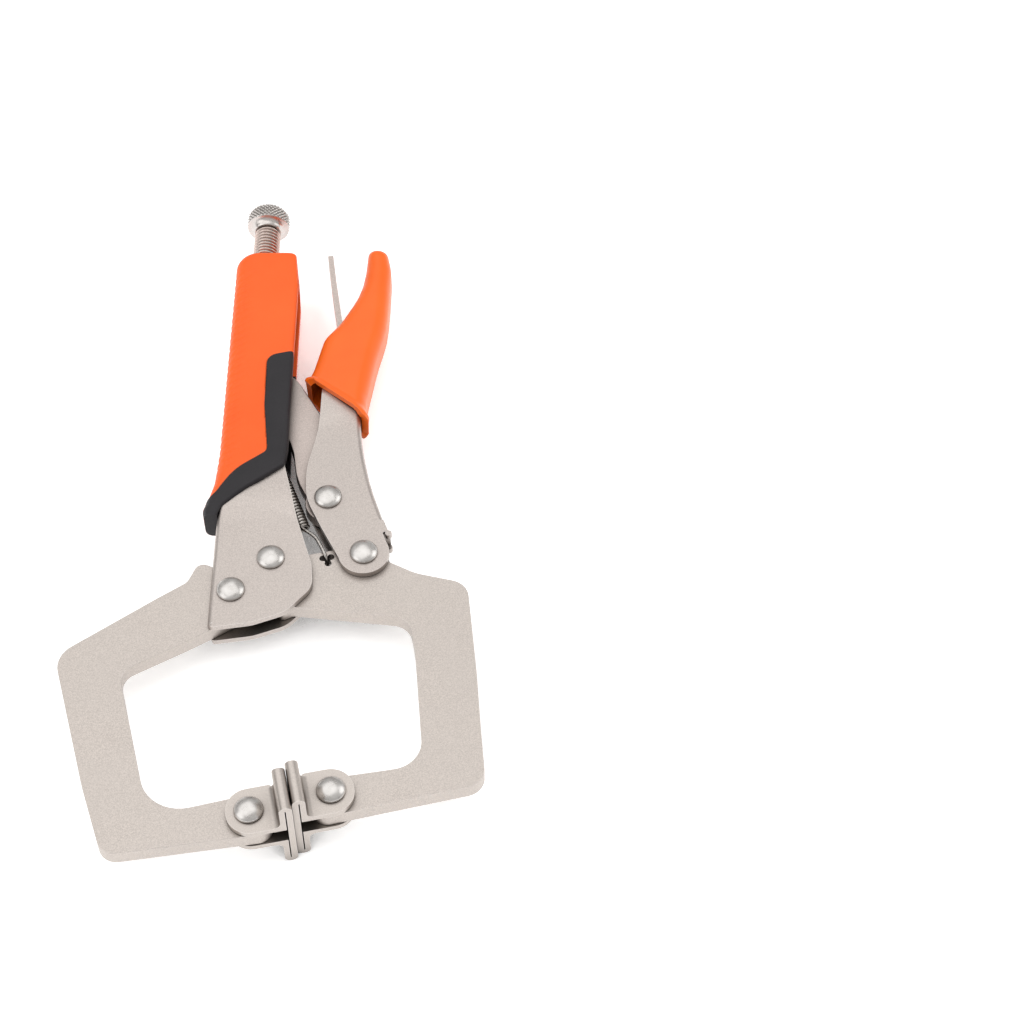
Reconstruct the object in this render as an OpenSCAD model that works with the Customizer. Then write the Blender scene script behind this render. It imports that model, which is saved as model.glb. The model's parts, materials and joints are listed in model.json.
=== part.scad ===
// Locking C-clamp pliers with swivelling pads, shown locked with the pads closed.
// Origin: middle of the closed clamping faces. +X clamps from the fixed jaw to the
// moving jaw, +Y runs from the pads to the handles, +Z is square to the flat of the tool.

/* [Jaws] */
// Thickness of the jaw plates
jaw_t = 5.6; // [5:0.1:5.7]
// Radius of the moving jaw's hub
hub_r = 10.2; // [9.5:0.1:10.4]
// Radius of the lever ear on the moving jaw
ear_r = 8; // [7:0.1:8.2]
// Length of a pad, square to the flat of the tool
pad_len = 32; // [28:1:40]
// Width of a pad along the throat
pad_w = 15; // [14:0.5:16]
// Depth of a pad's folded face, from the face to the back of the hem
pad_fold = 4.2; // [3.8:0.1:4.4]
// Distance from a pad's face to its rivet
pad_back = 13.1; // [12.5:0.1:14]
// Height of a pad's rivet above the middle of its face
pad_rise = 0.7; // [0:0.1:1]

/* [Handle] */
// Sheet thickness of the handle, lever and pads
sheet_t = 2.1; // [1.8:0.1:2.2]
// Inside width of the channels around the jaw plates
nose_gap = 6; // [5.9:0.1:6.4]
// Inside width of the channels in the grip area
grip_gap = 10.2; // [10:0.1:11]
// Thickness of the moulded grip over the channel's sides
grip_t = 1.8; // [1.4:0.1:2.2]
// Outside thickness of the lever sleeve
sleeve_w = 16.4; // [16:0.2:18]
// Wall thickness of the lever sleeve
sleeve_t = 1.6; // [1.2:0.1:2]
// Lean of the handle from +Y towards +X, in degrees
lean = 12; // [11.5:0.1:12.5]

/* [Rivets and linkage] */
// Shank diameter of the main rivets
shank_d = 6; // [5:0.5:6.5]
// Head diameter of the main rivets
head_d = 9.4; // [8.6:0.2:9.8]
// Head height of the main rivets
head_h = 2.6; // [2:0.1:3]
// Radial clearance of a pivot bore over its rivet
pivot_fit = 0.06; // [0.03:0.01:0.1]
// Thickness of the toggle link
link_t = 4.8; // [4:0.1:5]
// Free gap between the link's nose and the screw's tip
nose_free = 3.2; // [3.1:0.1:4]

/* [Adjusting screw] */
// Outside diameter of the screw
screw_d = 9.6; // [9:0.1:9.8]
// Diameter of the knurled knob
knob_d = 16; // [14:0.5:18]
// Distance from the jaw pivot to the middle of the knob, along the handle
knob_v = 158.5; // [158:0.5:162]

/* [Return spring] */
// Outside diameter of the spring's coil
coil_d = 5; // [4:0.1:5.2]
// Wire diameter of the spring
wire_d = 1.2; // [0.9:0.1:1.2]

/* [Hidden] */
$fn = 48;

// Rivet centres in the flat of the tool
pivot_b = [8.4, 94.9];
rivet_a = [-6.6, 84.6];
pivot_c = [31.4, 116.1];
pivot_d = [39.3, 90.6];
pivot_r = [44.6, 167];
// Half the step between the two pads, and the gap between their faces
pad_off = 0.9;
pad_gap = 0.2;
left_pad_pin = [-pad_back, pad_rise - pad_off];
right_pad_pin = [pad_back + pad_gap, pad_rise + pad_off];
// The handle frame has its origin at the jaw pivot: u across and v along the handle.
// The screw's axis, the neck of its knob and the nose of the link:
screw_u = -10.3;
neck_v = 153.6;
nose_v = 88;
plate_z = nose_gap / 2;
plate_out = plate_z + sheet_t;
grip_in = grip_gap / 2;
grip_plate = grip_in + sheet_t;
grip_out = grip_plate + grip_t;
head_z = plate_out;
sleeve_in = sleeve_w / 2 - sleeve_t;
// Longer than the tool, and thicker than it, for cuts that go right through
span = 300;
through = 40;

function cat(lists) = [for (l = lists) for (p = l) p];
function unit(v) = v / norm(v);

// A corner a-b-c rounded with radius r, as an arc of short steps
function fillet(a, b, c, r) =
    let (
        p = unit(a - b),
        q = unit(c - b),
        half = acos(max(-1, min(1, p * q))) / 2,
        d = r / tan(half),
        centre = b + unit(p + q) * (r / sin(half)),
        s = b + p * d - centre,
        e = b + q * d - centre,
        a0 = atan2(s.y, s.x),
        raw = atan2(e.y, e.x) - a0,
        sweep = raw > 180 ? raw - 360 : (raw < -180 ? raw + 360 : raw),
        n = max(1, ceil(abs(sweep) / 9))
    )
    [for (i = [0:n]) centre + r * [cos(a0 + sweep * i / n), sin(a0 + sweep * i / n)]];

// Closed outline from [x, y] or [x, y, radius] corners
function outline(pts) =
    let (n = len(pts))
    cat([
        for (i = [0:n - 1])
            let (
                a = pts[(i + n - 1) % n],
                b = pts[i],
                c = pts[(i + 1) % n]
            )
            len(b) < 3 || b[2] == 0
                ? [[b.x, b.y]]
                : fillet([a.x, a.y], [b.x, b.y], [c.x, c.y], b[2])
    ]);

// Handle frame to the tool's frame
function tool(p) = [
    pivot_b.x + p.x * cos(lean) + p.y * sin(lean),
    pivot_b.y - p.x * sin(lean) + p.y * cos(lean),
    len(p) > 2 ? p[2] : 0
];

module slab(z) {
    translate([0, 0, -z])
        linear_extrude(2 * z)
            children();
}

module in_handle() {
    translate([pivot_b.x, pivot_b.y, 0])
        rotate(-lean)
            children();
}

module along_handle(u, v) {
    in_handle()
        translate([u, v, 0])
            rotate([-90, 0, 0])
                children();
}

module bore(p, d) {
    translate([p.x, p.y, -through / 2])
        cylinder(d = d, h = through);
}

// Domed rivet head standing on z = 0
module dome(d, h) {
    r = (d * d / 4 + h * h) / (2 * h);
    intersection() {
        translate([0, 0, h - r])
            sphere(r);
        cylinder(d = d, h = h);
    }
}

// Rivet across the tool, with a dome on each side from z = face
module rivet(p, d, face, hd, hh) {
    translate([p.x, p.y, -face])
        cylinder(d = d, h = 2 * face);
    for (side = [0, 1])
        translate([p.x, p.y, 0])
            mirror([0, 0, side])
                translate([0, 0, face])
                    dome(hd, hh);
}

// Slab whose half thickness grows from z1 to z2 between v1 and v2 along its length
module joggle(z1, z2, v1, v2) {
    translate([-span / 2, 0, 0])
        rotate([90, 0, 90])
            linear_extrude(span)
                polygon([
                    [-span, -z1], [v1, -z1], [v2, -z2], [span, -z2],
                    [span, z2], [v2, z2], [v1, z1], [-span, z1]
                ]);
}

// ---- fixed handle: folded channel with its moulded grip

body_side = [
    [-19.4, -28.4, 2], [-5, -26.2, 14], [6, -22, 10], [14.6, -12, 8], [13.8, -2.5, 10],
    [7.8, 17.1, 40], [2.3, 39.6, 12], [0.8, 48, 12], [0.8, 131, 4], [-18.6, 131, 5],
    [-18.6, 26, 8], [-19.4, 14, 8]
];
grip_side = [
    [-19.4, 17.4, 0.4], [-17.8, 20.9, 5], [-10.6, 27.1, 30], [-5.2, 30.9, 30], [2.6, 37.2, 2],
    [3.5, 45, 8], [3.2, 60], [3.2, 121, 6], [1.8, 136, 2], [-8, 137, 30], [-20.4, 136, 6],
    [-20.6, 45, 30], [-21.4, 31, 14], [-24.7, 20.5, 4], [-23.6, 16, 1.6], [-19.9, 16, 0.4]
];
border_zone = [
    [-30, 0], [-19.4, 0], [-15, 8], [20, 30], [20, 88], [2.4, 88, 2], [-5.9, 86, 4.2],
    [-5.6, 64, 20], [-3.4, 43, 3], [-13.5, 35.4, 20], [-20, 26, 5], [-30, 20]
];

module body_envelope() {
    intersection() {
        slab(grip_plate + 1)
            polygon(outline(body_side));
        joggle(plate_out, grip_plate, 16, 28);
    }
}

module body_cavity() {
    intersection() {
        slab(grip_in + 1)
            polygon([
                [-30, -40], [40, -40], [40, 117], [-16.5, 117],
                [-16.5, 26], [-17.3, 14], [-17.3, -1.4], [-30, -1.4]
            ]);
        joggle(plate_z, grip_in, 17, 29);
    }
}

module body_channel() {
    color([0.82, 0.79, 0.76])
        difference() {
            in_handle() {
                difference() {
                    body_envelope();
                    body_cavity();
                }
                spring_tab();
            }
            along_handle(screw_u, 110)
                cylinder(d = screw_d + 0.1, h = 40);
            bore(pivot_b, shank_d);
            bore(rivet_a, shank_d);
        }
}

// Tongue lanced from the channel's back, holding the upper end of the spring
module spring_tab() {
    difference() {
        slab(1)
            polygon(outline([[-17, 50], [-9, 50, 2], [-6.4, 53, 2], [-6.4, 56.5, 2], [-17, 60]]));
        translate([-9.2, 54, -3])
            cylinder(d = 2.2, h = 6);
    }
}

module grip_solid() {
    difference() {
        intersection() {
            slab(grip_out)
                polygon(outline(grip_side));
            joggle(plate_out + 1, grip_out, 14, 30);
        }
        body_envelope();
        slab(grip_in)
            polygon([[-12, 30], [30, 30], [30, 128], [-12, 128]]);
        translate([screw_u, 120, 0])
            rotate([-90, 0, 0])
                cylinder(d = screw_d + 0.6, h = 30);
    }
}

module body_grip() {
    color([1, 0.43, 0.2])
        in_handle()
            difference() {
                grip_solid();
                slab(through / 2)
                    polygon(outline(border_zone));
            }
}

module grip_border() {
    color([0.24, 0.24, 0.26])
        in_handle()
            intersection() {
                grip_solid();
                slab(through / 2)
                    polygon(outline(border_zone));
            }
}

// ---- jaws

fixed_side = [
    [-15.4, 99.8, 3], [-20.4, 92.4, 4], [-30, 88.4, 60], [-66.8, 72, 9], [-63.3, 20.6, 60],
    [-60.2, -5.2, 6], [-6, -8.4, 5.5], [-6, 7.2, 5.5], [-30.6, 6.2, 30], [-44.3, 5.8, 13.4],
    [-46.5, 54, 40], [-46.8, 61.3, 6], [-22.8, 68.9, 80], [-2, 76.4, 1.5], [-1, 90],
    tool([-9, -2.2]), tool([-19.6, -2.2])
];
moving_side = [
    [8.2, 74, 1.5], [12.8, 75, 3], [49.4, 62.7, 7], [49.2, 50.6, 40], [43.5, 6.3, 10],
    [30.6, 6.7, 30], [6, 7.9, 5.5], [6, -6.1, 5.5], [50, -5], [61.6, -4.6, 6.5],
    [64.4, 17.2, 60], [67.2, 37.2, 60], [71.2, 72.5, 7], [55, 80.2, 16], [46.6, 87, 4],
    [44, 94], [30, 95.2], [14, 95.2], [2, 95]
];

module fixed_jaw() {
    color([0.84, 0.81, 0.78])
        difference() {
            slab(jaw_t / 2)
                polygon(outline(fixed_side));
            translate([pivot_b.x, pivot_b.y, -10])
                cylinder(r = hub_r + 0.6, h = 20);
            bore(rivet_a, shank_d);
            bore(left_pad_pin, pad_shank);
        }
}

// Three-lobed hole that takes the spring's hook
spring_hole = [27, 91.9];

module movable_jaw() {
    color([0.84, 0.81, 0.78])
        difference() {
            union() {
                slab(jaw_t / 2)
                    polygon(outline(moving_side));
                translate([pivot_b.x, pivot_b.y, -jaw_t / 2])
                    cylinder(r = hub_r, h = jaw_t);
                translate([pivot_d.x, pivot_d.y, -jaw_t / 2])
                    cylinder(r = ear_r, h = jaw_t);
            }
            bore(pivot_b, shank_d + 2 * pivot_fit);
            bore(pivot_d, shank_d + 2 * pivot_fit);
            bore(right_pad_pin, pad_shank);
            bore(spring_hole, 2.3);
            for (turn = [30:120:270])
                bore(spring_hole + 1.6 * [cos(turn), sin(turn)], 2.3);
        }
}

// ---- swivel pads

pad_shank = 5;
pad_head_h = 3;
ear_z = plate_z + 0.05;
// Ear of a pad: its reach behind the face, its upper edge and its rounded end
ear_reach = 20.4;
ear_top = pad_w / 2 + 1.2;
ear_round = 7.6;
// Sheet left in the face, and the slit of the folded hem behind it
face_t = 2;
slit = 0.4;

// Pad folded from sheet, with its face on x = 0 and its ears towards -X
module pad_sheet() {
    back = ear_z + sheet_t - 0.1;
    rotate([90, 0, 0])
        translate([0, 0, -pad_w / 2])
            linear_extrude(pad_w)
                difference() {
                    polygon(outline([
                        [0, -pad_len / 2, 2], [0, pad_len / 2, 2], [-pad_fold, pad_len / 2, 2],
                        [-pad_fold, back, 2.5], [-9, back], [-9, ear_z], [-face_t, ear_z],
                        [-face_t, -ear_z], [-9, -ear_z], [-9, -back], [-pad_fold, -back, 2.5],
                        [-pad_fold, -pad_len / 2, 2]
                    ]));
                    translate([-face_t - slit, -pad_len / 2 + face_t])
                        square([slit, pad_len - 2 * face_t]);
                }
    for (side = [0, 1])
        mirror([0, 0, side])
            translate([0, 0, ear_z])
                linear_extrude(sheet_t - 0.1)
                    polygon(outline([
                        [-pad_fold - 0.6, -pad_w / 2], [-pad_fold - 0.6, ear_top, 1],
                        [-ear_reach, ear_top, ear_round], [-ear_reach, -pad_w / 2, ear_round]
                    ]));
}

module fixed_pad() {
    color([0.8, 0.77, 0.74])
        difference() {
            translate([0, -pad_off, 0])
                pad_sheet();
            bore(left_pad_pin, pad_shank + 2 * pivot_fit);
        }
}

module moving_pad() {
    color([0.8, 0.77, 0.74])
        difference() {
            translate([pad_gap, pad_off, 0])
                mirror([1, 0, 0])
                    pad_sheet();
            bore(right_pad_pin, pad_shank + 2 * pivot_fit);
        }
}

// ---- lever, sleeve, link and release lever

// Back edge of the lever, from the ear to the tip, then the front edge back down
lever_back = [
    [47.6, 92, 1], [46.9, 97.6, 0.6], [49, 97.8, 0.6], [48.2, 103, 20], [46.6, 118, 60],
    [46.6, 132, 60], [47.8, 147, 60], [51.9, 165.4, 60], [62.9, 188.6, 60], [66.5, 202.4, 60],
    [69.6, 216, 20], [69.6, 223.4, 2.4]
];
lever_front = [
    [65.4, 223.4, 1.6], [61.9, 209.4, 60], [54.4, 197, 20], [44.4, 186.6, 12], [37.2, 162.7, 60],
    [33.2, 146, 60], [26.2, 130, 30], [24.0, 117.5, 20], [27.1, 103.6, 60], [31.2, 88.4]
];
// Inside line of the lever's back wall
lever_inner = [for (p = lever_back) if (p.y > 97.7 && p.y < 220) [p.x - sheet_t, p.y]];
sleeve_side = [
    [47.4, 147.2, 0.5], [50, 148.2, 2], [51.9, 156.5, 10], [59.1, 175.4, 60], [64.9, 188, 60],
    [68.5, 202, 60], [71.5, 215, 20], [71.5, 224.4, 4.5], [65.2, 226.4, 3], [61.2, 212.6, 40],
    [57.2, 203.8, 40], [48.5, 192.6, 20], [41.6, 186.4, 8], [35.8, 173.4, 6], [32.9, 168.6, 0.4],
    [33.2, 166.2, 0.5], [37.5, 161.5, 30], [42, 155.5, 30]
];
// Room inside the sleeve, in front of the lever's open side
sleeve_room = [
    [31, 162], [35.2, 169.6], [38.6, 175.4], [43.8, 184.6], [51, 192.4], [57, 202], [65, 202],
    [57, 182], [49, 160], [47, 147], [31, 147]
];

module lever_envelope() {
    intersection() {
        union() {
            slab(12)
                polygon(outline(concat(lever_back, lever_front)));
            slab(12)
                translate(pivot_d)
                    circle(r = 8.6);
            slab(12)
                translate(curl)
                    circle(r = 1.1);
        }
        lever_joggle(plate_out, sleeve_in);
    }
}

// Rolled lower end of the lever's back wall
curl = [48.9, 96.9];

// The lever widens under its sleeve
module lever_joggle(z1, z2) {
    joggle(z1, z2, 146, 160);
}

module lever_channel() {
    color([0.84, 0.81, 0.78])
        difference() {
            lever_envelope();
            intersection() {
                slab(12)
                    polygon(outline(concat(
                        [[60, 70], [60, 97.7], [46.9, 97.7]], lever_inner,
                        [[66.6, 221.3], [10, 221.3], [10, 70]]
                    )));
                lever_joggle(plate_z, sleeve_in - sheet_t);
            }
            bore(pivot_d, shank_d);
            bore(pivot_c, shank_d);
            bore(pivot_r, release_d);
        }
}

module lever_sleeve() {
    color([1, 0.48, 0.2])
        difference() {
            slab(sleeve_w / 2)
                polygon(outline(sleeve_side));
            lever_envelope();
            slab(sleeve_in)
                polygon(sleeve_room);
            slab(4.6)
                polygon([[30, 181], [60, 181], [66, 206], [40, 206]]);
        }
}

link_side = [
    [26.5, 114], [21.9, 128, 30], [23.9, 146, 30], tool([-13.6, 73, 8]), tool([-14.8, 80, 8]),
    tool([-14.8, nose_v, 4.4]), tool([-5.6, nose_v, 4.4]), tool([4.8, 80, 14]), [34.8, 156, 30],
    [38.2, 144, 20], [39.2, 126, 20], [36.5, 114]
];

module toggle_link() {
    color([0.8, 0.77, 0.74])
        difference() {
            union() {
                slab(link_t / 2)
                    polygon(outline(link_side));
                translate([pivot_c.x, pivot_c.y, -link_t / 2])
                    cylinder(r = ear_r, h = link_t);
            }
            bore(pivot_c, shank_d + 2 * pivot_fit);
        }
}

strip_t = 2;
strip_w = 8;
release_d = shank_d - 1;
// Centre line of the release lever, from its nose to its finger tab
release_line = [
    [39.6, 152.6], [43, 160], [44.8, 170], [46.4, 178], [47.8, 186],
    [48.7, 194], [49.3, 203], [49.8, 213], [50.9, 227.4]
];

// Even strip along a centre line
function strip(line, t) =
    let (
        n = len(line),
        dirs = [for (i = [0:n - 1]) unit(line[min(i + 1, n - 1)] - line[max(i - 1, 0)])]
    )
    concat(
        [for (i = [0:n - 1]) line[i] + t / 2 * [-dirs[i].y, dirs[i].x]],
        [for (i = [n - 1:-1:0]) line[i] - t / 2 * [-dirs[i].y, dirs[i].x]]
    );

module release_lever() {
    ears = [[42.4, 159], [44.6, 177, 0.9], [47, 175, 3.6], [48.6, 167, 4], [45.8, 158.4, 2]];
    ear_t = 1.6;
    color([0.8, 0.77, 0.74])
        difference() {
            union() {
                intersection() {
                    slab(strip_w / 2)
                        polygon(strip(release_line, strip_t));
                    lever_joggle(2.3, strip_w / 2);
                }
                for (side = [0, 1])
                    mirror([0, 0, side])
                        translate([0, 0, strip_w / 2 - ear_t])
                            linear_extrude(ear_t)
                                polygon(outline(ears));
            }
            bore(pivot_r, release_d + 2 * pivot_fit);
        }
}

// Flush rivet, so that the sleeve lies flat over it
module release_rivet() {
    color([0.86, 0.84, 0.82])
        translate([pivot_r.x, pivot_r.y, -sleeve_in])
            cylinder(d = release_d, h = 2 * sleeve_in);
}

// ---- adjusting screw

module adjusting_screw() {
    tip = nose_v + nose_free;
    color([0.75, 0.71, 0.68])
        along_handle(screw_u, tip)
            rotate_extrude()
                polygon([
                    [0, 0], [screw_d / 2 - 1, 0], [screw_d / 2, 1],
                    [screw_d / 2, neck_v - 0.1 - tip], [0, neck_v - 0.1 - tip]
                ]);
}

module adjusting_knob() {
    r = knob_d / 2;
    low = neck_v - knob_v;
    color([0.8, 0.78, 0.76])
        along_handle(screw_u, knob_v)
            rotate_extrude()
                polygon(outline([
                    [0, low], [5.2, low, 0.5], [5.9, low + 1.3, 1], [r - 0.8, -2.8, 1], [r, -1.8, 0.8],
                    [r, 1.4, 2], [r - 2.2, 4.2, 2], [0, 5.2]
                ]));
}

// ---- rivets

module fixed_jaw_rivet() {
    color([0.9, 0.89, 0.88])
        rivet(rivet_a, shank_d, head_z, head_d, head_h);
}

module jaw_pivot_rivet() {
    color([0.9, 0.89, 0.88])
        rivet(pivot_b, shank_d, head_z, head_d, head_h);
}

module lever_pivot_rivet() {
    color([0.9, 0.89, 0.88])
        rivet(pivot_d, shank_d, head_z, head_d, head_h);
}

module link_pivot_rivet() {
    color([0.9, 0.89, 0.88])
        rivet(pivot_c, shank_d, head_z, head_d, head_h);
}

module fixed_pad_rivet() {
    color([0.9, 0.89, 0.88])
        rivet(left_pad_pin, pad_shank, ear_z + sheet_t, head_d, pad_head_h);
}

module moving_pad_rivet() {
    color([0.9, 0.89, 0.88])
        rivet(right_pad_pin, pad_shank, ear_z + sheet_t, head_d, pad_head_h);
}

// ---- return spring

// Round wire between two points
module wire(a, b) {
    d = b - a;
    translate(a)
        rotate([0, acos(d.z / norm(d)), atan2(d.y, d.x)])
            cylinder(d = wire_d, h = norm(d));
    translate(b)
        sphere(d = wire_d + 0.15);
}

module return_spring() {
    low = [21.3, 108.4, 0];
    high = tool([-0.6, 43]);
    hole = [spring_hole.x, spring_hole.y, 0];
    leg_z = jaw_t / 2 + wire_d / 2 + 0.2;
    knee = hole + [-2, 8.3, leg_z];
    tab = tool([-9.2, 54]);
    d = high - low;
    color([0.6, 0.58, 0.56])
        union() {
            translate(low)
                rotate([0, 90, atan2(d.y, d.x)])
                    cylinder(d = coil_d, h = norm(d));
            wire(low + [0, 0.6, 1], knee);
            wire(knee, hole + [0, 0, leg_z]);
            wire(hole + [0, 0, leg_z], hole + [0, 0, -jaw_t / 2]);
            wire(high - unit(d), tab + [0, 0, 1.9]);
            wire(tab + [0, 0, 1.9], tab + [0, 0, -1.4]);
        }
}

body_channel();
body_grip();
grip_border();
fixed_jaw();
fixed_jaw_rivet();
jaw_pivot_rivet();
movable_jaw();
lever_channel();
lever_sleeve();
lever_pivot_rivet();
link_pivot_rivet();
release_rivet();
toggle_link();
release_lever();
adjusting_screw();
adjusting_knob();
return_spring();
fixed_pad();
moving_pad();
fixed_pad_rivet();
moving_pad_rivet();
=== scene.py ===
"""Looks of the locking clamp pliers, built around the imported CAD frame. Metres throughout."""
import json
import math

import bmesh
import bpy
import numpy as np
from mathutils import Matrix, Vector
from mathutils.bvhtree import BVHTree


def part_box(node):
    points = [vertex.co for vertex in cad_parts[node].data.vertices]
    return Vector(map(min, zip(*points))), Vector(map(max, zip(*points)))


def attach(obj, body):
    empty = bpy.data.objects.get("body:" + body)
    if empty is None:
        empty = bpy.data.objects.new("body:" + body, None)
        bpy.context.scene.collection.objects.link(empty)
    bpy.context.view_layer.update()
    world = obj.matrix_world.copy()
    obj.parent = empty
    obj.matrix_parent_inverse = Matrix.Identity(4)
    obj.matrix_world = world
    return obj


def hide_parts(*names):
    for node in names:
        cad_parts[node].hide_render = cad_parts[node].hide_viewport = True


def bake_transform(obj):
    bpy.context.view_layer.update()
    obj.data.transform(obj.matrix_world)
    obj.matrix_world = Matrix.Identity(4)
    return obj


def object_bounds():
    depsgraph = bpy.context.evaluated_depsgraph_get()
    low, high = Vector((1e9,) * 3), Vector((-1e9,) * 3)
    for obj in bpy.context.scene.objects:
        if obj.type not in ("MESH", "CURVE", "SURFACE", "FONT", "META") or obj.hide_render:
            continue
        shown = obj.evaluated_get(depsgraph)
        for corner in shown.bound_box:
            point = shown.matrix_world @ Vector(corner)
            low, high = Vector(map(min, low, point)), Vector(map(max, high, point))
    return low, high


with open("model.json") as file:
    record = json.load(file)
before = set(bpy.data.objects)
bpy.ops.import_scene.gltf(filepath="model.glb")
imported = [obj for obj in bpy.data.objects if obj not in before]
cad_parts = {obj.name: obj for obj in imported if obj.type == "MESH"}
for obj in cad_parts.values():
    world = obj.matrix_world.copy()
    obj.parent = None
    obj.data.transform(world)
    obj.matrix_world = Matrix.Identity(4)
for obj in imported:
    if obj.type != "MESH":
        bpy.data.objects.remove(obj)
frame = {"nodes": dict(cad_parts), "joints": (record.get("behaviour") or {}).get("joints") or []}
CAD_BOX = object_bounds()
MM = 0.001
NODES = frame["nodes"]
JOINTS = {j["name"]: j for j in frame["joints"]}

# The handle frame: origin at the jaw pivot, u across the handle and v along it
HANDLE_V = Vector(JOINTS["screw_feed"]["axis"]).normalized()
HANDLE_U = Vector((HANDLE_V.y, -HANDLE_V.x, 0))
HANDLE_ORIGIN = Vector(JOINTS["jaw_opening"]["pos_m"])
UP = Vector((0, 0, 1))

# Millimetres from a piece's middle, far enough for a ray to start outside it
OUTSIDE = 60

# Painted shade that every steel gets in its hollows, and the paler colour of its edges, part wear and part
# painted highlight
HOLLOW_SHADE = (0.06, 0.047, 0.038)
EDGE_WEAR_AND_HIGHLIGHT = (0.86, 0.83, 0.8)


def handle_point(u, v, z=0.0):
    """A point given in millimetres in the handle frame."""
    return HANDLE_ORIGIN + (HANDLE_U * u + HANDLE_V * v + UP * z) * MM


def centre(node):
    low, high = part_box(node)
    return (low + high) / 2


# ---- mesh helpers

def new_object(name, mesh, material, body, node):
    """Makes a piece that rides on a body and stands for a CAD node."""
    piece = bpy.data.objects.new(name, mesh)
    bpy.context.scene.collection.objects.link(piece)
    mesh.materials.clear()
    mesh.materials.append(material)
    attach(piece, body)
    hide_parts(node)
    return piece


def mesh_from(name, points, faces, smooth=True):
    """Mesh with doubled points joined and all faces turned outwards."""
    mesh = bpy.data.meshes.new(name)
    mesh.from_pydata([tuple(p) for p in points], [], faces)
    shell = bmesh.new()
    shell.from_mesh(mesh)
    bmesh.ops.remove_doubles(shell, verts=shell.verts, dist=1e-6)
    bmesh.ops.recalc_face_normals(shell, faces=shell.faces)
    shell.to_mesh(mesh)
    shell.free()
    for polygon in mesh.polygons:
        polygon.use_smooth = smooth
    return mesh


def grid_faces(rows, columns):
    """Quads between rings of points, row after row, each ring closed on itself."""
    faces = []
    for row in range(rows - 1):
        for column in range(columns):
            following = (column + 1) % columns
            faces.append((row * columns + column, row * columns + following,
                          (row + 1) * columns + following, (row + 1) * columns + column))
    return faces


def capped_faces(rows, columns):
    """Grid of rings with a face over its first and its last ring."""
    faces = grid_faces(rows, columns)
    faces.append(tuple(range(columns)))
    faces.append(tuple((rows - 1) * columns + column for column in range(columns)))
    return faces


def arc(cx, cy, radius, start, end, steps):
    """Points of a circular arc in the plane, angles in degrees."""
    angles = np.radians(np.linspace(start, end, steps + 1))
    return [(cx + radius * math.cos(a), cy + radius * math.sin(a)) for a in angles]


def fade(value, low, high):
    """Smooth step from 0 at low to 1 at high."""
    share = min(1.0, max(0.0, (value - low) / (high - low)))
    return share * share * (3 - 2 * share)


def lathe(profile, origin, axis, steps):
    """Surface turned from (radius, height) points in millimetres about an axis."""
    side = axis.orthogonal().normalized()
    other = axis.cross(side)
    points = []
    for radius, height in profile:
        for step in range(steps):
            angle = 2 * math.pi * step / steps
            around = side * math.cos(angle) + other * math.sin(angle)
            points.append(origin + (around * radius + axis * height) * MM)
    return points, grid_faces(len(profile), steps)


def smooth_by_angle(mesh, degrees):
    """Keeps edges sharper than an angle sharp."""
    mesh.set_sharp_from_angle(angle=math.radians(degrees))


def welded_copy(node):
    """A CAD node's mesh, joined up along its edges, in a mesh of its own."""
    shell = bmesh.new()
    shell.from_mesh(NODES[node].data)
    bmesh.ops.remove_doubles(shell, verts=shell.verts, dist=0.005 * MM)
    bmesh.ops.recalc_face_normals(shell, faces=shell.faces)
    mesh = bpy.data.meshes.new(node + "_copy")
    shell.to_mesh(mesh)
    shell.free()
    return mesh


def cast(tree, start, direction):
    """Where a ray first meets a mesh, or None."""
    return tree.ray_cast(start, direction)[0]


def tree_of(*nodes):
    """CAD nodes' meshes, ready for rays."""
    shell = bmesh.new()
    for node in nodes:
        shell.from_mesh(NODES[node].data)
    tree = BVHTree.FromBMesh(shell)
    shell.free()
    return tree


def combine(mesh, cutter, operation):
    """Boolean of two closed meshes, as a new mesh."""
    first = bpy.data.objects.new("first", mesh)
    second = bpy.data.objects.new("second", cutter)
    for made in (first, second):
        bpy.context.scene.collection.objects.link(made)
    step = first.modifiers.new("combine", "BOOLEAN")
    step.operation = operation
    step.solver = "MANIFOLD"
    step.object = second
    graph = bpy.context.evaluated_depsgraph_get()
    result = bpy.data.meshes.new_from_object(first.evaluated_get(graph))
    for made in (first, second):
        bpy.data.objects.remove(made)
    if not result.polygons:
        raise ValueError("the combined mesh is empty")
    return result


def finish_skin(mesh, degrees):
    """Smooth shading all over, except at edges sharper than an angle."""
    for polygon in mesh.polygons:
        polygon.use_smooth = True
    smooth_by_angle(mesh, degrees)


# ---- material helpers

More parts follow.
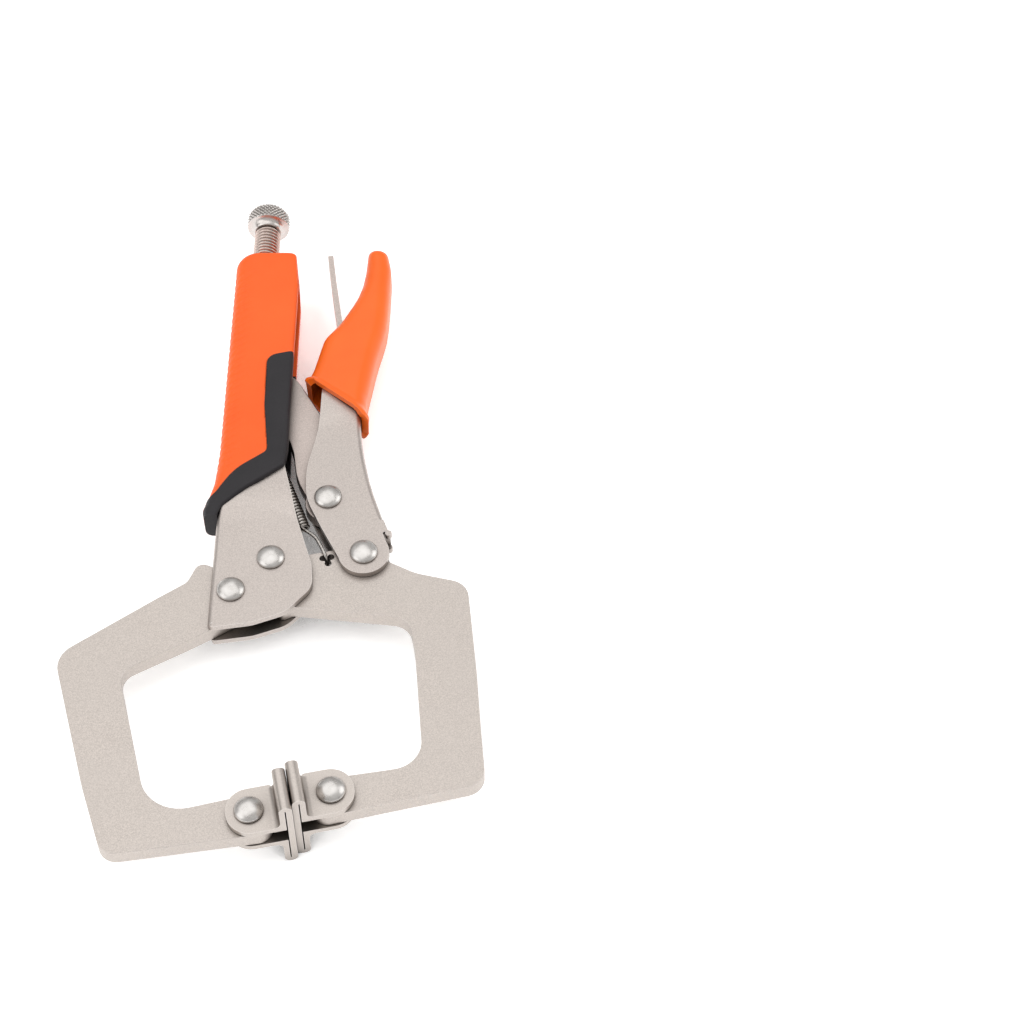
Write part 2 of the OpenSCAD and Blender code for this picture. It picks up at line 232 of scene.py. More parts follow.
class Nodes:
    """Short way of writing a node tree."""

    def __init__(self, name):
        self.material = bpy.data.materials.new(name)
        self.material.use_nodes = True
        self.tree = self.material.node_tree
        self.shader = self.tree.nodes["Principled BSDF"]
        self.place = self.add("ShaderNodeTexCoord").outputs["Object"]

    def add(self, kind, **settings):
        made = self.tree.nodes.new(kind)
        for key, value in settings.items():
            setattr(made, key, value)
        return made

    def link(self, source, target):
        self.tree.links.new(source, target)

    def noise(self, scale, detail, rough=0.6):
        made = self.add("ShaderNodeTexNoise")
        made.inputs["Scale"].default_value = scale
        made.inputs["Detail"].default_value = detail
        made.inputs["Roughness"].default_value = rough
        self.link(self.place, made.inputs["Vector"])
        return made.outputs["Fac"]

    def spread(self, source, low, high, to_low, to_high):
        made = self.add("ShaderNodeMapRange")
        for key, value in (("From Min", low), ("From Max", high), ("To Min", to_low), ("To Max", to_high)):
            made.inputs[key].default_value = value
        self.link(source, made.inputs["Value"])
        return made.outputs["Result"]

    def mix(self, share, one, two):
        made = self.add("ShaderNodeMix", data_type="RGBA")
        self.link(share, made.inputs[0])
        for value, socket in ((one, made.inputs[6]), (two, made.inputs[7])):
            if isinstance(value, tuple):
                socket.default_value = (*value, 1)
            else:
                self.link(value, socket)
        return made.outputs[2]

    def maths(self, operation, one, two):
        made = self.add("ShaderNodeMath", operation=operation)
        for value, socket in ((one, made.inputs[0]), (two, made.inputs[1])):
            if isinstance(value, (int, float)):
                socket.default_value = value
            else:
                self.link(value, socket)
        return made.outputs[0]

    def shelter(self, distance, samples=6):
        """One in the open and less in hollows and gaps."""
        made = self.add("ShaderNodeAmbientOcclusion", samples=samples)
        made.inputs["Distance"].default_value = distance
        return made.outputs["AO"]

    def edges(self, radius):
        """Zero on flat stretches and one on edges, from the bevelled normal."""
        bevel = self.add("ShaderNodeBevel", samples=4)
        bevel.inputs["Radius"].default_value = radius
        normal = self.add("ShaderNodeNewGeometry").outputs["Normal"]
        product = self.add("ShaderNodeVectorMath", operation="DOT_PRODUCT")
        self.link(bevel.outputs["Normal"], product.inputs[0])
        self.link(normal, product.inputs[1])
        return self.spread(product.outputs["Value"], 0.995, 0.86, 0, 1)

    def bump(self, height, strength, distance):
        made = self.add("ShaderNodeBump")
        made.inputs["Strength"].default_value = strength
        made.inputs["Distance"].default_value = distance
        self.link(height, made.inputs["Height"])
        self.link(made.outputs["Normal"], self.shader.inputs["Normal"])

    def fixed(self, **values):
        """Constants that go straight on the shader's own sockets."""
        for key, value in values.items():
            self.shader.inputs[key.replace("_", " ")].default_value = value


# ---- materials

def satin_steel(name, colour, rough, grain=1.0, reach=14.0, depth=0.62):
    """Satin nickel plate: fine blasted grain, faint clouds, painted shade in hollows and where parts meet,
    and paler edges that are part wear and part painted highlight.
    """
    made = Nodes(name)
    dark = tuple(c * 0.9 for c in colour)
    clouds = made.noise(45, 3)
    speckle = made.noise(2600, 2, 0.7)
    tone = made.mix(made.spread(clouds, 0.35, 0.65, 0, 1), dark, colour)
    flecks = made.spread(speckle, 0.32, 0.66, 0.75 * grain, 0)
    speckled = made.mix(flecks, tone, tuple(c * 0.62 for c in colour))
    # Paler edges: part wear and part painted highlight
    worn_and_highlit = made.mix(made.maths("MULTIPLY", made.edges(0.35 * MM), 0.5), speckled, EDGE_WEAR_AND_HIGHLIGHT)
    # Painted shade: hollows and gaps take a near-black colour, from ambient occlusion
    hollow = made.spread(made.shelter(reach * MM), 0.1, depth, 0, 1)
    hollow_shaded = made.mix(hollow, HOLLOW_SHADE, worn_and_highlit)
    # Painted contact shade: darker colour where other parts come close, from a short-reach occlusion
    contact_shade = made.spread(made.shelter(reach * 0.4 * MM), 0.5, 0.97, 0.2, 0)
    made.link(made.mix(contact_shade, hollow_shaded, tuple(c * 0.4 for c in colour)), made.shader.inputs["Base Color"])
    made.link(made.spread(clouds, 0.3, 0.7, rough - 0.05, rough + 0.06), made.shader.inputs["Roughness"])
    made.fixed(Metallic=1.0)
    made.bump(made.maths("ADD", speckle, made.noise(900, 3)), 0.22 * grain, 0.05 * MM)
    return made.material


def chrome():
    """Bright rivet heads with faint hammer marks."""
    made = Nodes("rivet_chrome")
    marks = made.noise(420, 3)
    tone = made.mix(made.spread(marks, 0.35, 0.7, 0, 1), (0.56, 0.54, 0.52), (0.68, 0.66, 0.64))
    made.link(tone, made.shader.inputs["Base Color"])
    made.link(made.spread(marks, 0.3, 0.7, 0.25, 0.33), made.shader.inputs["Roughness"])
    made.fixed(Metallic=1.0)
    made.bump(made.noise(330, 1), 0.03, 0.05 * MM)
    return made.material


def spring_wire():
    """Drawn wire, darker than the plates."""
    made = Nodes("spring_wire")
    streaks = made.noise(1500, 3)
    tone = made.mix(made.spread(streaks, 0.3, 0.7, 0, 1), (0.24, 0.22, 0.2), (0.62, 0.59, 0.56))
    made.link(tone, made.shader.inputs["Base Color"])
    made.link(made.spread(streaks, 0.3, 0.7, 0.22, 0.38), made.shader.inputs["Roughness"])
    made.fixed(Metallic=1.0)
    made.bump(streaks, 0.1, 0.03 * MM)
    return made.material


def moulded(name, deep, bright, rough, grain, coat):
    """Moulded or dipped skin: slow colour drift, fine pores and paler edges, part rubbing and part painted
    highlight.
    """
    made = Nodes(name)
    drift = made.noise(28, 3)
    pores = made.noise(1700, 2, 0.7)
    tone = made.mix(made.spread(drift, 0.3, 0.7, 0, 1), deep, bright)
    pale = tuple(min(1.0, c * 1.12 + 0.02) for c in bright)
    # Paler edges: part rubbing and part painted highlight
    rubbed_and_highlit = made.mix(made.maths("MULTIPLY", made.edges(0.5 * MM), 0.4), tone, pale)
    made.link(rubbed_and_highlit, made.shader.inputs["Base Color"])
    made.link(made.spread(pores, 0.3, 0.7, rough - 0.06, rough + 0.06), made.shader.inputs["Roughness"])
    made.fixed(Specular_IOR_Level=0.34, Coat_Weight=coat, Coat_Roughness=0.35)
    made.bump(pores, grain, 0.05 * MM)
    return made.material


STEEL = satin_steel("handle_steel", (0.62, 0.562, 0.525), 0.42)
JAW_STEEL = satin_steel("jaw_steel", (0.645, 0.588, 0.545), 0.44)
# Link steel: deeper painted shade in its hollows
LINK_STEEL = satin_steel("link_steel", (0.66, 0.575, 0.535), 0.42, depth=0.7)
PAD_STEEL = satin_steel("pad_steel", (0.6, 0.548, 0.507), 0.36, 0.7)
# Screw and knob: short reach, so painted shade lies in their thread and knurl grooves
SCREW_STEEL = satin_steel("screw_steel", (0.72, 0.585, 0.53), 0.27, 0.3, 1.6, 0.95)
KNOB_STEEL = satin_steel("knob_steel", (0.66, 0.62, 0.595), 0.25, 0.3, 1.2, 0.9)
CHROME = chrome()
SPRING = spring_wire()
ORANGE_GRIP = moulded("orange_grip", (0.93, 0.118, 0.012), (1.0, 0.14, 0.018), 0.5, 0.25, 0.0)
ORANGE_SLEEVE = moulded("orange_sleeve", (0.94, 0.135, 0.007), (1.0, 0.165, 0.012), 0.36, 0.06, 0.12)
BLACK_GRIP = moulded("black_grip", (0.016, 0.0145, 0.017), (0.027, 0.0245, 0.028), 0.55, 0.3, 0.0)


# ---- plates and channels

FOLD_R = 1.7
SHEET_BEVEL = 0.45
LEVER_FOLD_START = 13


def soft_edges(plate, bevel):
    """Small rounded edges with flat faces left flat."""
    soft = plate.modifiers.new("soft", "BEVEL")
    soft.width = bevel * MM
    soft.segments = 3
    soft.limit_method = "ANGLE"
    soft.angle_limit = math.radians(30)
    soft.harden_normals = True
    shade = plate.modifiers.new("shade", "WEIGHTED_NORMAL")
    shade.keep_sharp = False


def finish_plate(node, material, bevel):
    """Gives a CAD plate soft edges and its material."""
    plate = NODES[node]
    for place in plate.material_slots:
        place.material = material
    weld = plate.modifiers.new("weld", "WELD")
    weld.merge_threshold = 0.01 * MM
    flat = plate.modifiers.new("flat", "DECIMATE")
    flat.decimate_type = "DISSOLVE"
    flat.angle_limit = math.radians(1)
    soft_edges(plate, bevel)


def is_fold(edge, tree, outward, lowest):
    """Whether an edge is an outside corner between a side plate and the spine, above a lowest Y."""
    if len(edge.link_faces) != 2:
        return False
    normals = [face.normal for face in edge.link_faces]
    flat = max(abs(normal.z) for normal in normals)
    side = max(normal.dot(outward) for normal in normals)
    middle = (edge.verts[0].co + edge.verts[1].co) / 2
    inner = middle - UP * math.copysign(1.0 * MM, middle.z)
    hit = cast(tree, inner + outward * OUTSIDE * MM, -outward)
    outermost = hit is not None and abs((hit - inner).dot(outward)) < 0.3 * MM
    return flat > 0.9 and side > 0.6 and outermost and middle.y > lowest


def folded_channel(node, body, outward, lowest):
    """A pressed channel, its sheet rounded where it folds round the spine above a lowest Y."""
    mesh = welded_copy(node)
    shell = bmesh.new()
    shell.from_mesh(mesh)
    bmesh.ops.dissolve_limit(shell, angle_limit=math.radians(1), verts=shell.verts, edges=shell.edges)
    tree = BVHTree.FromBMesh(shell)
    weight = shell.edges.layers.float.new("bevel_weight_edge")
    for edge in shell.edges:
        if is_fold(edge, tree, outward, lowest):
            edge[weight] = 1.0
    shell.to_mesh(mesh)
    shell.free()
    piece = new_object(node + "_folded", mesh, STEEL, body, node)
    fold = piece.modifiers.new("fold", "BEVEL")
    fold.width = FOLD_R * MM
    fold.segments = 5
    fold.limit_method = "WEIGHT"
    fold.use_clamp_overlap = False
    soft_edges(piece, SHEET_BEVEL)


def plates():
    jaw_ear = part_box("lever_pivot_rivet")[1].y
    folded_channel("body_channel", "handle", -HANDLE_U, 0)
    folded_channel("lever_channel", "lever", Vector((1, 0, 0)), jaw_ear + LEVER_FOLD_START * MM)
    finish_plate("fixed_jaw", JAW_STEEL, 0.5)
    finish_plate("movable_jaw", JAW_STEEL, 0.5)
    finish_plate("toggle_link", LINK_STEEL, 0.4)
    finish_plate("release_lever", LINK_STEEL, 0.3)
    finish_plate("fixed_pad", PAD_STEEL, 0.35)
    finish_plate("moving_pad", PAD_STEEL, 0.35)
    finish_plate("release_rivet", LINK_STEEL, 0.2)


# ---- rivets

PLATE_RIVET_HEAD = 2.58
PAD_RIVET_HEAD = 2.98


def rivet_profile(radius, head, face, middle):
    """Half of a rivet: shank, undercut ring, low skirt and the raised bump of its head."""
    skirt = head * 0.22
    dome = [(radius, face + skirt)]
    for share in np.linspace(0.05, 1, 14):
        angle = share * math.pi / 2
        dome.append((radius * math.cos(angle), face + skirt + (head - skirt) * math.sin(angle) ** 1.25))
    return [(middle, 0), (middle, face), (radius * 0.93, face), (radius, face + skirt * 0.45)] + dome


def rivet(node, body, head):
    """One turned rivet, as wide and as high as its CAD node."""
    low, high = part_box(node)
    radius = (high.x - low.x) / 2 / MM
    face = high.z / MM - head
    shank = radius * 0.62
    half = rivet_profile(radius, head, face, shank)
    whole = [(r, -z) for r, z in reversed(half)] + half[1:]
    points, faces = lathe(whole, centre(node), UP, 64)
    name = node + "_head"
    new_object(name, mesh_from(name, points, faces), CHROME, body, node)


def rivets():
    for node, body in (("jaw_pivot_rivet", "handle"), ("fixed_jaw_rivet", "handle"),
                       ("lever_pivot_rivet", "lever"), ("link_pivot_rivet", "lever")):
        rivet(node, body, PLATE_RIVET_HEAD)
    rivet("fixed_pad_rivet", "handle", PAD_RIVET_HEAD)
    rivet("moving_pad_rivet", "moving_jaw_arm", PAD_RIVET_HEAD)


# ---- adjusting screw and knob

SCREW_U = -10.3
KNOB_V = 158.5
THREAD_PITCH = 1.5
THREAD_DEPTH = 0.85
SCREW_R = 4.8
SCREW_TIP_V = 91.2
SCREW_END_V = 153.5
KNURLS = 34
KNURL_LEAN = 0.66
KNURL_DEPTH = 0.6


def thread_height(turn):
    """Rounded V thread, 0 at the root and 1 at the crest."""
    return 0.5 - 0.5 * math.cos(2 * math.pi * turn)


def screw():
    """Rod with a true helical thread, plain over its hidden tip."""
    around = 48
    per_pitch = 9
    length = SCREW_END_V - SCREW_TIP_V
    rings = int(length / THREAD_PITCH * per_pitch)
    points = []
    for ring in range(rings + 1):
        along = length * ring / rings
        full = min(1, along / 2, (length - along) / 1.2)
        for step in range(around):
            share = step / around
            height = thread_height(along / THREAD_PITCH - share)
            radius = SCREW_R - THREAD_DEPTH * (1 - height * full)
            angle = 2 * math.pi * share
            offset = HANDLE_U * math.cos(angle) * radius + UP * math.sin(angle) * radius
            points.append(handle_point(SCREW_U, SCREW_TIP_V + along) + offset * MM)
    mesh = mesh_from("screw_thread", points, capped_faces(rings + 1, around))
    new_object("screw_thread", mesh, SCREW_STEEL, "screw", "adjusting_screw")


def groove(turns):
    """Zero in a groove and one midway between two of them."""
    return 1 - abs(2 * (turns % 1.0) - 1)


def knob_profile():
    """Half of the knob as (radius, height): neck, rounded rim, wall, shoulder and low crown."""
    profile = [(0.01, -4.88), (4.9, -4.88), (5.2, -4.6), (5.4, -4.1),
               (5.75, -3.6), (6.3, -3.15), (7.0, -2.8)]
    profile += arc(6.9, -1.7, 1.09, -80, 0, 7)
    profile += [(7.99, height) for height in np.linspace(-1.55, 1.3, 20)]
    profile += arc(4.9, 1.3, 3.09, 3, 62, 22)
    profile += [(6.35 * share, 4.87 - 0.88 * share ** 2) for share in np.linspace(0.97, 0.002, 9)]
    return profile


def knob():
    """Mushroom head: diamond knurl on its rim and crown, smooth neck under it."""
    around = KNURLS * 9
    profile = knob_profile()
    points = []
    for radius, height in profile:
        knurled = fade(height, -2.5, -2.1) * fade(radius, 3.6, 5.2)
        for step in range(around):
            share = step / around
            one = groove(KNURLS * share + height * KNURL_LEAN)
            other = groove(KNURLS * share - height * KNURL_LEAN)
            cut = KNURL_DEPTH * knurled * (1 - min(1.0, 1.5 * min(one, other)))
            angle = 2 * math.pi * share
            offset = (HANDLE_U * math.cos(angle) + UP * math.sin(angle)) * (radius - cut)
            points.append(handle_point(SCREW_U, KNOB_V + height) + offset * MM)
    mesh = mesh_from("knurled_knob", points, grid_faces(len(profile), around))
    smooth_by_angle(mesh, 35)
    new_object("knurled_knob", mesh, KNOB_STEEL, "knob", "adjusting_knob")


# ---- moulded grip

GRIP_LOW_V = 17.4
GRIP_HIGH_V = 138.5
GRIP_STEP = 0.4
GRIP_HALF = 9.0
GRIP_NOSE_HALF = 5.95
GRIP_END_V = 137.0
GRIP_END_R = 2.4
GRIP_FIRST_V = 18.0
GRIP_FIRST_EDGES = (-24.4, -19.4)
GRIP_LEFT_R = 4.6
GRIP_RIGHT_R = 1.3
BORDER_RAISE = 0.3
RIB_PITCH = 3.2
RIB_DEPTH = 0.55
RIB_SLANT = 0.8
RIB_REACH = 9.0


def rib_depth(v, from_left):
    """Depth of the finger ribs, strongest at the grip's back edge."""
    along = (v - RIB_SLANT * from_left) / RIB_PITCH
    wave = 0.5 - 0.5 * math.cos(2 * math.pi * along)
    lengthwise = fade(v, 34, 38) * (1 - fade(v, 124, 128))
    return RIB_DEPTH * wave ** 1.6 * lengthwise * (1 - fade(from_left, RIB_REACH - 5.5, RIB_REACH))


def grip_half(v):
    """Half thickness of the grip: thinner where it lies on the nose, rounded at its end."""
    swell = GRIP_NOSE_HALF + (GRIP_HALF - GRIP_NOSE_HALF) * fade(v, 14.5, 33)
    short = max(0.0, GRIP_END_R - (GRIP_END_V - v))
    return swell - (GRIP_END_R - math.sqrt(max(0.0, GRIP_END_R ** 2 - min(short, GRIP_END_R) ** 2)))


def grip_width(tree, v, last):
    """Left and right edges of the CAD grip at one station, or the last ones past its ends."""
    level = grip_half(v) - 0.5
    left = cast(tree, handle_point(-OUTSIDE, v, 0), HANDLE_U)
    left = left or cast(tree, handle_point(-OUTSIDE, v, level), HANDLE_U)
    right = cast(tree, handle_point(OUTSIDE, v, level), -HANDLE_U)
    if left is None or right is None:
        return last
    return ((left - HANDLE_ORIGIN).dot(HANDLE_U) / MM, (right - HANDLE_ORIGIN).dot(HANDLE_U) / MM)


def grip_section(left, right, half):
    """Rounded cross-section as (u, z) points, and the radius of its left corners."""
    left_r = min(GRIP_LEFT_R, 0.6 * (right - left), half * 0.95)
    right_r = min(GRIP_RIGHT_R, 0.3 * (right - left))
    front = np.linspace(right - right_r, left + left_r, 24)[1:-1]
    wall = np.linspace(half - left_r, -(half - left_r), 10)[1:-1]
    upper = arc(right - right_r, half - right_r, right_r, 0, 90, 4)
    upper += [(u, half) for u in front]
    upper += arc(left + left_r, half - left_r, left_r, 90, 180, 14)
    lower = [(u, -z) for u, z in reversed(upper)]
    return upper + [(left, z) for z in wall] + lower, left_r


def rib_direction(u, z, left, half, radius):
    """Way into the grip at a point of its section: straight in on faces, turning at corners."""
    inward = left + radius - u if u < left + radius else 0
    target = math.copysign(max(0.0, half - radius), z) if abs(z) > half - radius else z
    direction = Vector((inward, target - z))
    if direction.length > 1e-6:
        return direction.normalized()
    return Vector((0, -math.copysign(1, z)))


def grip_envelope(sunk, ribbed):
    """Rounded solid that the grip's outside follows, sunk below the CAD face by a little."""
    tree = tree_of("body_grip", "grip_border")
    stations = np.arange(GRIP_LOW_V, GRIP_HIGH_V, GRIP_STEP)
    points = []
    edges = grip_width(tree, GRIP_FIRST_V, GRIP_FIRST_EDGES)
    for v in stations:
        edges = grip_width(tree, v, edges)
        left, right = edges[0] + sunk, edges[1] + 0.05
        half = max(1.0, grip_half(v) - sunk)
        section, left_r = grip_section(left, right, half)
        for u, z in section:
            direction = rib_direction(u, z, left, half, left_r)
            depth = rib_depth(v, max(0.0, u - left)) if ribbed else 0.0
            depth *= 1 - 1.7 * abs(direction.x * direction.y)
            points.append(handle_point(u + direction.x * depth, v, z + direction.y * depth))
    return mesh_from("grip_envelope", points, capped_faces(len(stations), len(section)))


def grip():
    """Orange grip with ribs, sunk a little below its charcoal border."""
    orange = combine(welded_copy("body_grip"), grip_envelope(BORDER_RAISE, True), "INTERSECT")
    finish_skin(orange, 40)
    new_object("ribbed_grip", orange, ORANGE_GRIP, "handle", "body_grip")
    border = combine(welded_copy("grip_border"), grip_envelope(0.02, False), "INTERSECT")
    finish_skin(border, 40)
    new_object("raised_border", border, BLACK_GRIP, "handle", "grip_border")


# ---- lever sleeve

SLEEVE_MOUTH = (Vector((33.0, 167.4, 0)), Vector((49.2, 147.6, 0)))
SLEEVE_TIP = (Vector((65.4, 226.2, 0)), Vector((71.4, 224.2, 0)))
SLEEVE_HALF = 8.2
SLEEVE_R = 4.8
SLEEVE_WALL = 1.45
SLEEVE_STATIONS = 120
SLEEVE_END_R = 3.0
SLEEVE_SOLID = 10
SLEEVE_BEND = Vector((56.5, 184, 0))


def sleeve_edges(tree, share):
    """Left and right edges of the CAD sleeve where a slanting section crosses it."""
    turn = share ** 0.8
    slant = (SLEEVE_MOUTH[1] - SLEEVE_MOUTH[0]).normalized()
    across = slant.lerp(Vector((0.97, -0.24, 0)), fade(turn, 0, 0.75))
    across.normalize()
    start = (SLEEVE_MOUTH[0] + SLEEVE_MOUTH[1]) / 2
    end = (SLEEVE_TIP[0] + SLEEVE_TIP[1]) / 2
    middle = start * (1 - share) ** 2 + SLEEVE_BEND * 2 * share * (1 - share) + end * share ** 2
    level = UP * (SLEEVE_HALF - 0.7)
    found = []
    for side in (-1, 1):
        hit = cast(tree, (middle + across * side * OUTSIDE + level) * MM, -across * side)
        found.append(hit / MM - level if hit is not None else None)
    return found


def sleeve_sections():
    """Edges of every section that crosses the CAD sleeve, from its mouth to its tip."""
    tree = tree_of("lever_sleeve")
    sections = []
    for index in range(SLEEVE_STATIONS + 1):
        share = 0.012 + 0.976 * index / SLEEVE_STATIONS
        left, right = sleeve_edges(tree, share)
        if left is not None and right is not None:
            sections.append((left, right))
    return sections


def sleeve_ring(left, right, half, shrink, around):
    """One closed section of the sleeve."""
    across = right - left
    width = across.length
    across.normalize()
    inside = max(0.3, width - 2 * shrink)
    depth = max(0.3, half - shrink)
    radius = min(max(0.2, SLEEVE_R - shrink), inside * 0.48, depth * 0.96)
    section = []
    corners = ((inside - radius, -depth + radius, 270), (inside - radius, depth - radius, 0),
               (radius, depth - radius, 90), (radius, -depth + radius, 180))
    for cx, cy, start in corners:
        section += arc(cx, cy, radius, start, start + 90, around)
    return [left + across * (shrink + p) + UP * z for p, z in section]


def ragged(index):
    """How far the rim reaches along the sleeve, by the point's number round the ring."""
    drip = math.exp(-((index - 15) / 2.6) ** 2)
    point = math.exp(-((index - 26) / 2.2) ** 2)
    return 0.2 * math.sin(index * 0.9) + 0.14 * math.sin(index * 2.3 + 1.0) - 0.95 * drip - 0.8 * point


def curl(index):
    """How far the rim turns outwards: a fat drip on one side and a pointed lip on the other."""
    return 1.7 * math.exp(-((index - 12) / 3.2) ** 2) + 0.8 * math.exp(-((index - 27) / 2.0) ** 2)


def sleeve_half(sections, index):
    """Half thickness at a section: full over the steel, rounded off past its tip."""
    last = (sections[-1][0] + sections[-1][1]) / 2
    here = (sections[index][0] + sections[index][1]) / 2
    short = max(0.0, 1 - (last - here).length / SLEEVE_END_R)
    return SLEEVE_HALF - SLEEVE_END_R * (1 - math.sqrt(max(0.0, 1 - short * short)))


def shape_mouth(rings, inner, sections):
    """Makes the rim uneven along the sleeve and curls it outwards."""
    rim_axis = (sections[4][0] + sections[4][1] - sections[0][0] - sections[0][1]).normalized()
    for ring in (rings[0], inner[0]):
        for number, point in enumerate(ring):
            ring[number] = point + rim_axis * ragged(number)
    for index, ring in enumerate(rings[:8]):
        middle = sum(ring, Vector()) / len(ring)
        for number, point in enumerate(ring):
            outward = (point - middle).normalized()
            ring[number] = point + outward * curl(number) * (1 - fade(index, 0, 6.5))


def sleeve():
    """Dipped sleeve: rounded outside, hollow inside, flared and ragged at its mouth."""
    sections = sleeve_sections()
    around = 9
    rings = []
    inner = []
    for index, (left, right) in enumerate(sections):
        lip = 0.75 * (1 - fade(index, 0, 5))
        rings.append(sleeve_ring(left, right, sleeve_half(sections, index), 0.02 - lip, around))
    for left, right in sections[:-SLEEVE_SOLID]:
        inner.append(sleeve_ring(left, right, SLEEVE_HALF, SLEEVE_WALL, around))
    shape_mouth(rings, inner, sections)
    stack = list(reversed(inner)) + rings
    points = [point * MM for ring in stack for point in ring]
    faces = capped_faces(len(stack), len(stack[0]))
    mesh = combine(mesh_from("dipped_sleeve", points, faces), slot_cutter(), "DIFFERENCE")
    finish_skin(mesh, 50)
    new_object("dipped_sleeve", mesh, ORANGE_SLEEVE, "lever", "lever_sleeve")


def slot_cutter():
    """Room for the release lever in the front wall of the sleeve."""
    places = [(x, y, z) for x in (38, 54) for y in (183, 204) for z in (-4.6, 4.6)]
    points = [Vector(place) * MM for place in places]
    faces = [(0, 1, 3, 2), (4, 6, 7, 5), (0, 4, 5, 1), (2, 3, 7, 6), (0, 2, 6, 4), (1, 5, 7, 3)]
    return mesh_from("slot_cutter", points, faces, smooth=False)


# ---- return spring

WIRE_R = 0.6
COIL_R = 1.9
COIL_PITCH = 1.32
COIL_LOW = Vector((21.3, 108.4, 0)) * MM
SPRING_HOLE = Vector((27.0, 91.9, 0)) * MM


def tube(name, path, radius, sides):
    """Round wire along a path of points."""
    points = []
    normal = None
    for index, point in enumerate(path):
        ahead = path[min(index + 1, len(path) - 1)] - path[max(index - 1, 0)]
        ahead.normalize()
        normal = ahead.orthogonal() if normal is None else normal - ahead * normal.dot(ahead)
        normal.normalize()
        other = ahead.cross(normal)
        for side in range(sides):
            angle = 2 * math.pi * side / sides
            points.append(point + (normal * math.cos(angle) + other * math.sin(angle)) * radius)
    return mesh_from(name, points, capped_faces(len(path), sides))


def bezier(a, b, c, d, steps):
    """Points of a cubic curve."""
    shares = [index / steps for index in range(steps + 1)]
    return [a * (1 - t) ** 3 + b * 3 * t * (1 - t) ** 2 + c * 3 * t * t * (1 - t) + d * t ** 3
            for t in shares]


def coil_points(high):
    """Close-wound turns from the coil's low end to its high end."""
    axis = (high - COIL_LOW).normalized()
    across = axis.cross(UP).normalized()
    length = (high - COIL_LOW).length
    turns = round(length / (COIL_PITCH * MM))
    per_turn = 24
    coil = []
    for index in range(turns * per_turn + 1):
        angle = 2 * math.pi * index / per_turn
        around = UP * math.cos(angle) + across * math.sin(angle)
        coil.append(COIL_LOW + axis * length * index / (turns * per_turn) + around * COIL_R * MM)
    return coil, axis, across


def spring():
    """Close-wound extension spring, hooked in the jaw's hole and the handle's tongue."""
    tongue = handle_point(-9.2, 54)
    coil, axis, across = coil_points(handle_point(-0.6, 43))
    hook = SPRING_HOLE + UP * 3.5 * MM
    leg = bezier(SPRING_HOLE - UP * 1.5 * MM, hook, hook + Vector((-0.5, 2.4, 0.3)) * MM,
                 SPRING_HOLE + Vector((-2.0, 8.3, 3.5)) * MM, 14)
    entry = bezier(leg[-1], leg[-1] + Vector((-1.0, 3.4, 0)) * MM, coil[0] - across * 2.4 * MM, coil[0], 12)
    top = bezier(coil[-1], coil[-1] + across * 2.0 * MM + axis * 2.0 * MM,
                 tongue + UP * 2.6 * MM - axis * 3 * MM, tongue + UP * 1.9 * MM, 14)
    hook_end = bezier(top[-1], top[-1] + axis * 1.2 * MM, tongue + UP * 0.8 * MM, tongue - UP * 1.4 * MM, 8)
    path = leg + entry[1:] + coil[1:] + top[1:] + hook_end[1:]
    mesh = tube("coil_spring", path, WIRE_R * MM, 10)
    mesh.materials.append(SPRING)
    piece = bpy.data.objects.new("coil_spring", mesh)
    bpy.context.scene.collection.objects.link(piece)
    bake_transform(piece)
    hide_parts("return_spring")


# ---- camera, light and floor

def camera():
    """Tool lying flat on a table, seen over its pads from above."""
    distance = 857 * MM
    elevation = math.radians(53)
    azimuth = math.radians(12)
    target = Vector((92.4, 100.6, 0)) * MM
    back = Vector((-math.sin(azimuth) * math.cos(elevation),
                   -math.cos(azimuth) * math.cos(elevation), math.sin(elevation)))
    data = bpy.data.cameras.new("camera")
    data.lens = 87.9
    data.sensor_width = 36
    eye = bpy.data.objects.new("camera", data)
    eye.location = target + back * distance
    eye.rotation_mode = "QUATERNION"
    eye.rotation_quaternion = (-back).to_track_quat("-Z", "Y")
    bpy.context.scene.collection.objects.link(eye)
    bpy.context.scene.camera = eye


def area_light(name, place, target, size, power):
    data = bpy.data.lights.new(name, "AREA")
    data.shape = "RECTANGLE"
    data.size, data.size_y = size
    data.energy = power
    light = bpy.data.objects.new(name, data)
    light.location = place
    light.rotation_mode = "QUATERNION"
    light.rotation_quaternion = (Vector(target) - Vector(place)).to_track_quat("-Z", "Y")
    bpy.context.scene.collection.objects.link(light)


def lights():
    middle = (0.02, 0.11, 0)
    area_light("overhead", (-0.1, 0.35, 1.1), middle, (1.6, 1.6), 6)
    area_light("left_panel", (-1.0, -0.2, 0.6), middle, (0.9, 0.9), 2.6)
    area_light("right_panel", (1.1, 0.1, 0.55), middle, (0.8, 0.8), 2.6)


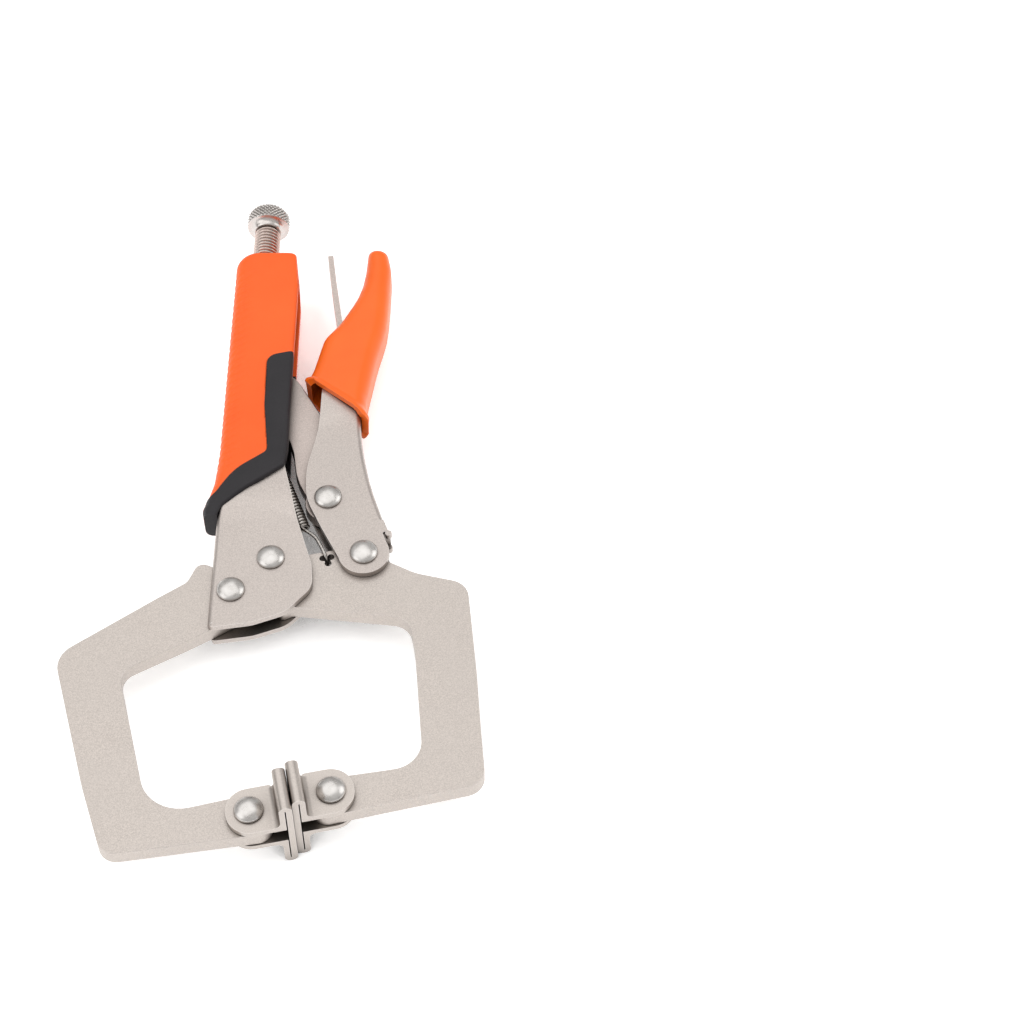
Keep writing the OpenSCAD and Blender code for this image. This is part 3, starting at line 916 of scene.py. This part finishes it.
def sky():
    """Pale studio all round, with a darker band just above the horizon."""
    world = bpy.data.worlds.new("studio")
    world.use_nodes = True
    tree = world.node_tree
    background = tree.nodes["Background"]
    place = tree.nodes.new("ShaderNodeTexCoord")
    split = tree.nodes.new("ShaderNodeSeparateXYZ")
    ramp = tree.nodes.new("ShaderNodeValToRGB")
    stops = ((0.0, 0.95), (0.48, 0.8), (0.56, 0.5), (0.72, 0.75), (1.0, 0.85))
    elements = ramp.color_ramp.elements
    while len(elements) < len(stops):
        elements.new(0.5)
    for element, (position, level) in zip(elements, stops):
        element.position = position
        element.color = (level, level * 0.985, level * 0.97, 1)
    half = tree.nodes.new("ShaderNodeMapRange")
    half.inputs["From Min"].default_value = -1
    tree.links.new(place.outputs["Generated"], split.inputs["Vector"])
    tree.links.new(split.outputs["Z"], half.inputs["Value"])
    tree.links.new(half.outputs["Result"], ramp.inputs["Fac"])
    background.inputs["Strength"].default_value = 0.86
    tree.links.new(ramp.outputs["Color"], background.inputs["Color"])
    bpy.context.scene.world = world
    bpy.context.scene.view_settings.view_transform = "Standard"


def floor():
    """White paper that glows a little, with painted shade close to the tool."""
    size = 4.0
    low = CAD_BOX[0].z
    points = [(-size, -size, low), (size, -size, low), (size, size, low), (-size, size, low)]
    mesh = mesh_from("floor", points, [(0, 1, 2, 3)], smooth=False)
    ground = bpy.data.objects.new("floor", mesh)
    bpy.context.scene.collection.objects.link(ground)
    made = Nodes("floor_paper")
    tone = made.mix(made.noise(3, 2), (0.84, 0.84, 0.84), (0.88, 0.88, 0.88))
    # Painted shade: floor colour and glow go near-black in gaps and close under the tool
    open_floor = made.spread(made.shelter(30 * MM, 8), 0.12, 0.37, 0, 1)
    shaded = made.mix(open_floor, (0.07, 0.065, 0.06), tone)
    made.link(shaded, made.shader.inputs["Base Color"])
    made.link(shaded, made.shader.inputs["Emission Color"])
    made.fixed(Roughness=0.9, Emission_Strength=0.62)
    mesh.materials.append(made.material)


camera()
lights()
sky()
floor()
plates()
rivets()
screw()
knob()
grip()
sleeve()
spring()
